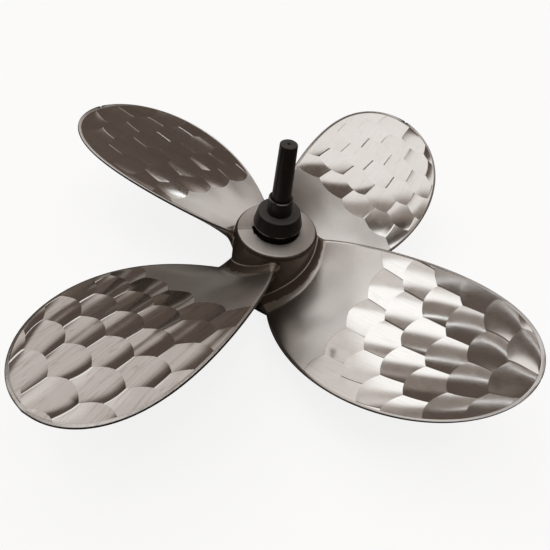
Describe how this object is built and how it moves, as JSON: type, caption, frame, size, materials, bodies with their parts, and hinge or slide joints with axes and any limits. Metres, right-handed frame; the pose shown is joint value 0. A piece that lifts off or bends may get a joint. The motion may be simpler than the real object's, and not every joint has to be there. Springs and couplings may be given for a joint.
{
  "type": "ship propeller",
  "caption": "Right-handed fixed-pitch ship propeller, cast in one piece with its hub, standing hub down with a blackened balancing mandrel clamped in its keyed taper bore.",
  "frame": {"origin": "middle of the hub's forward face, on the floor that the propeller stands on", "axes": "+Z is the propeller's axis, from the forward end of the hub to its aft end, and points up; +X runs out along the root of the first blade, and the other blades follow every quarter turn"},
  "size_m": [1.0888, 1.0888, 0.371],
  "materials": {
    "polished_cast_metal": "cast corrosion-resistant steel, ground and polished, with overlapping grinding marks on the blades",
    "blackened_steel": "turned steel with a black oxide coat, satin",
    "plain_steel": "plain machined steel"
  },
  "bodies": {
    "root": {"propeller_casting": "polished_cast_metal", "mandrel_shaft": "blackened_steel", "lock_collar": "blackened_steel", "clamping_collar": "blackened_steel", "upper_centring_plug": "blackened_steel", "lower_centring_plug": "blackened_steel", "clamp_washer": "plain_steel", "clamp_nut": "plain_steel"}
  },
  "joints": []
}
